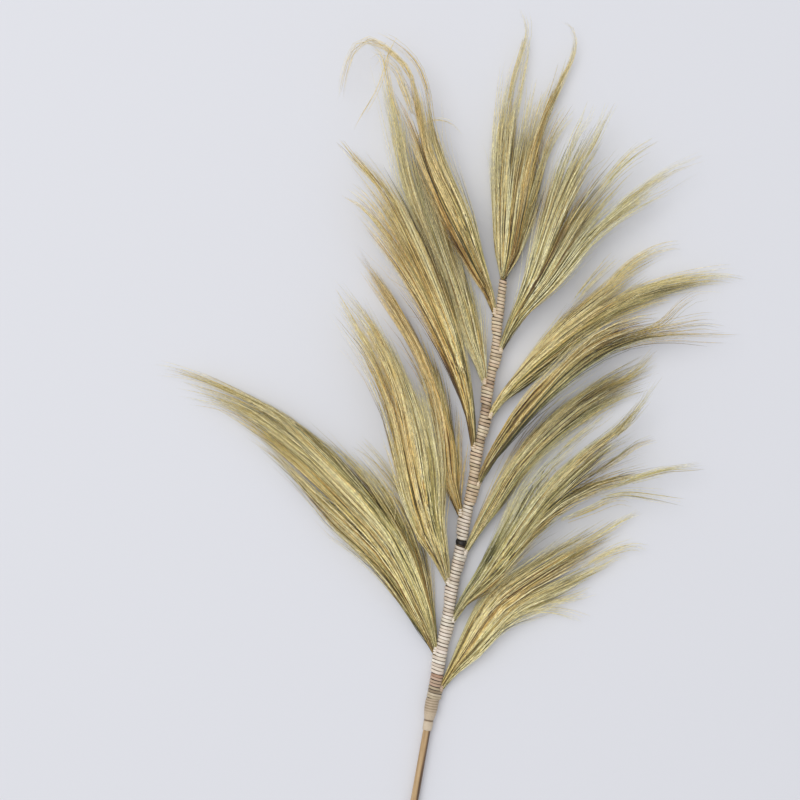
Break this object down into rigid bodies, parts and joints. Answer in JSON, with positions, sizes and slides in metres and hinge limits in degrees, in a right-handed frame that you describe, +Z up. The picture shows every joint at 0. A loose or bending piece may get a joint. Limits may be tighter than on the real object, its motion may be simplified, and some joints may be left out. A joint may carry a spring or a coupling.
{
  "type": "bundle of rayung grass",
  "caption": "Dried grass plumes on thin stalks, bound by a wound strip to both sides and the tip of a slim cane; lies flat on a surface.",
  "frame": {"origin": "on the ground, under the middle of the branch's reach", "axes": "+Y along the cane towards its tip plume, +Z up from the surface that the branch lies on, +X to the side of the right plumes"},
  "size_m": [0.9602, 1.4376, 0.0651],
  "materials": {
    "cane": "satin",
    "winding_tan": "matte",
    "winding_cream": "matte",
    "winding_black": "matte",
    "winding_brown": "matte",
    "sheath": "satin",
    "grass_straw": "matte",
    "grass_green": "matte",
    "grass_brown": "matte"
  },
  "bodies": {
    "root": {"cane": "cane", "binding_tan": "winding_tan", "binding_cream_upper": "winding_cream", "binding_black": "winding_black", "binding_cream_lower": "winding_cream", "binding_brown": "winding_brown", "sheath": "sheath", "plume_tip": "grass_green", "plume_right_1": "grass_green", "plume_right_2": "grass_straw", "plume_right_3": "grass_green", "plume_right_4": "grass_green", "plume_right_5": "grass_green", "plume_right_6": "grass_straw", "plume_left_1": "grass_brown", "plume_left_2": "grass_green", "plume_left_3": "grass_straw", "plume_left_4": "grass_brown", "plume_left_5": "grass_straw", "plume_left_6": "grass_straw"}
  },
  "joints": []
}
